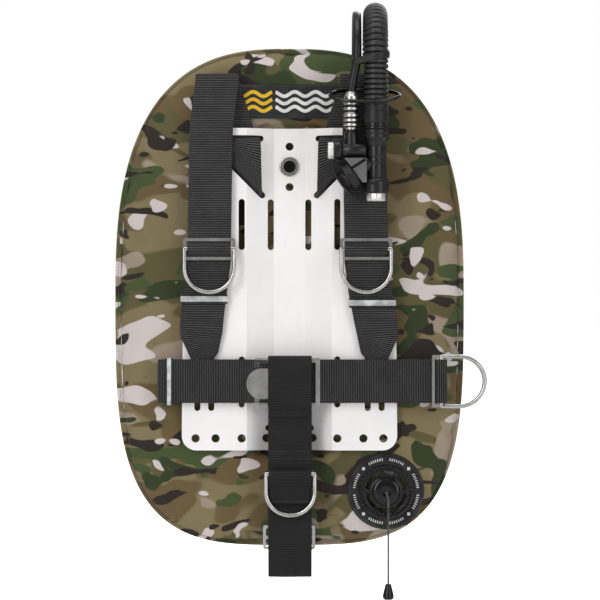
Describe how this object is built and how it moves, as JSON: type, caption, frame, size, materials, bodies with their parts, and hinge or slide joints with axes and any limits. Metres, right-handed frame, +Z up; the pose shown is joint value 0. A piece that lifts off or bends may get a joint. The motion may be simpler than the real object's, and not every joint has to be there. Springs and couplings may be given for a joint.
{
  "type": "buoyancy compensator vest",
  "caption": "Diving backplate and wing: metal plate on a camouflage air bladder with webbing harness, cam buckle, corrugated inflator hose and pull dump valve.",
  "frame": {"origin": "middle of the backplate's height and width, on the plane of the flange faces that touch the diver's back", "axes": "+X to the diver's left (the inflator side), +Y away from the diver's back towards the tank, +Z up towards the head"},
  "size_m": [0.4278, 0.1339, 0.6877],
  "materials": {
    "plate": "fine bead-blasted satin",
    "bolt_steel": "satin",
    "polished_steel": "polished stainless wire and plate",
    "chrome": "bright",
    "camo_fabric": "woven nylon with a multi-colour camouflage print",
    "patch_fabric": "black coated cloth",
    "webbing": "ribbed nylon webbing",
    "grey_tape": "reflective woven tape",
    "bladder_film": "translucent polyurethane",
    "hose_rubber": "matt",
    "soft_rubber": "matt",
    "black_plastic": "moulded",
    "cord": "braided"
  },
  "bodies": {
    "root": {"backplate": "plate", "belt_keeper": "grey_tape", "buckle_frame": "polished_steel", "buckle_pin": "polished_steel", "chest_slider_left": "polished_steel", "chest_slider_right": "polished_steel", "corrugated_hose_rear": "hose_rubber", "crotch_ring_flap": "webbing", "crotch_slider": "polished_steel", "crotch_strap": "webbing", "dump_valve_base": "black_plastic", "dump_valve_cap": "black_plastic", "dump_valve_patch": "patch_fabric", "dump_valve_spring": "bolt_steel", "elbow": "black_plastic", "elbow_ring": "black_plastic", "hip_slider": "polished_steel", "hose_clamp_rear": "black_plastic", "lp_hose_fitting": "chrome", "lp_hose_rear": "hose_rubber", "plate_bolt_nuts": "bolt_steel", "plate_bolt_washers": "bolt_steel", "plate_bolts": "bolt_steel", "shoulder_strap_left": "webbing", "shoulder_strap_right": "webbing", "strap_keeper_left": "grey_tape", "strap_keeper_right": "grey_tape", "waist_belt_left": "webbing", "waist_belt_right": "webbing", "wing_back_panel": "camo_fabric", "wing_bladder": "bladder_film", "wing_edge_binding": "camo_fabric", "wing_front_panel": "camo_fabric", "wing_grommets": "bolt_steel", "wing_patch": "patch_fabric"},
    "inflator": {"inflator_body": "black_plastic", "corrugated_hose_front": "hose_rubber", "lp_hose_front": "hose_rubber", "hose_clamp_front": "black_plastic", "hose_cuff": "soft_rubber", "hose_band": "soft_rubber", "bungee_ring": "cord", "lp_nipple": "chrome", "qd_body": "chrome", "mouthpiece_ring": "black_plastic", "mouthpiece": "soft_rubber", "inflate_spring": "bolt_steel", "deflate_spring": "bolt_steel"},
    "inflate_button": {"inflate_button": "chrome"},
    "deflate_button": {"deflate_button": "chrome"},
    "qd_sleeve": {"qd_sleeve": "chrome"},
    "chest_ring_left": {"chest_ring_left": "polished_steel"},
    "chest_ring_right": {"chest_ring_right": "polished_steel"},
    "hip_ring": {"hip_ring": "polished_steel"},
    "crotch_ring": {"crotch_ring": "polished_steel"},
    "crotch_loop": {"crotch_loop": "webbing"},
    "buckle_lever": {"buckle_lever": "polished_steel"},
    "dump_cord": {"pull_cord": "cord", "pull_bead": "black_plastic"},
    "dump_disc": {"dump_valve_disc": "black_plastic"}
  },
  "joints": [
    {"name": "inflator_swing", "type": "hinge", "parent": "root", "child": "inflator", "pos_m": [0.099, 0.019, 0.332], "axis": [-1, 0, 0], "range_deg": [0, 70]},
    {"name": "inflate_press", "type": "slide", "parent": "inflator", "child": "inflate_button", "axis": [1, 0, 0], "range_m": [0, 0.003], "stiffness_N_per_m": 800, "springref_m": -0.001, "deforming": ["inflate_spring"]},
    {"name": "deflate_press", "type": "slide", "parent": "inflator", "child": "deflate_button", "axis": [0, 0, 1], "range_m": [0, 0.004], "stiffness_N_per_m": 900, "springref_m": -0.001, "deforming": ["deflate_spring"]},
    {"name": "coupling_pull", "type": "slide", "parent": "inflator", "child": "qd_sleeve", "axis": [0, 0, 1], "range_m": [0, 0.004], "stiffness_N_per_m": 600, "springref_m": -0.001},
    {"name": "chest_ring_left_lift", "type": "hinge", "parent": "root", "child": "chest_ring_left", "pos_m": [0.088, -0.0152, 0.046], "axis": [-1, 0, 0], "range_deg": [0, 150]},
    {"name": "chest_ring_right_lift", "type": "hinge", "parent": "root", "child": "chest_ring_right", "pos_m": [-0.092, -0.0152, 0.046], "axis": [-1, 0, 0], "range_deg": [0, 150]},
    {"name": "hip_ring_swing", "type": "hinge", "parent": "root", "child": "hip_ring", "pos_m": [0.174, -0.0182, -0.1055], "axis": [0, 0, -1], "range_deg": [0, 150]},
    {"name": "crotch_ring_lift", "type": "hinge", "parent": "root", "child": "crotch_ring", "pos_m": [0.001, -0.0235, -0.2115], "axis": [-1, 0, 0], "range_deg": [0, 140]},
    {"name": "crotch_loop_slide", "type": "slide", "parent": "root", "child": "crotch_loop", "axis": [1, 0, 0], "range_m": [0, 0.056]},
    {"name": "buckle_lever_open", "type": "hinge", "parent": "root", "child": "buckle_lever", "pos_m": [-0.002, -0.016, -0.1084], "axis": [0, 0, 1], "range_deg": [0, 84.5]},
    {"name": "dump_cord_pull", "type": "slide", "parent": "root", "child": "dump_cord", "axis": [0, 0, -1], "range_m": [0, 0.008], "stiffness_N_per_m": 300, "springref_m": -0.002},
    {"name": "dump_disc_lift", "type": "slide", "parent": "root", "child": "dump_disc", "axis": [0, -1, 0], "range_m": [0, 0.0041], "deforming": ["dump_valve_spring"]}
  ],
  "couplings": [
    {"joint": "buckle_lever_open", "follows": "crotch_loop_slide", "rad_per_m": 26.18},
    {"joint": "dump_disc_lift", "follows": "dump_cord_pull", "ratio": 0.5}
  ]
}
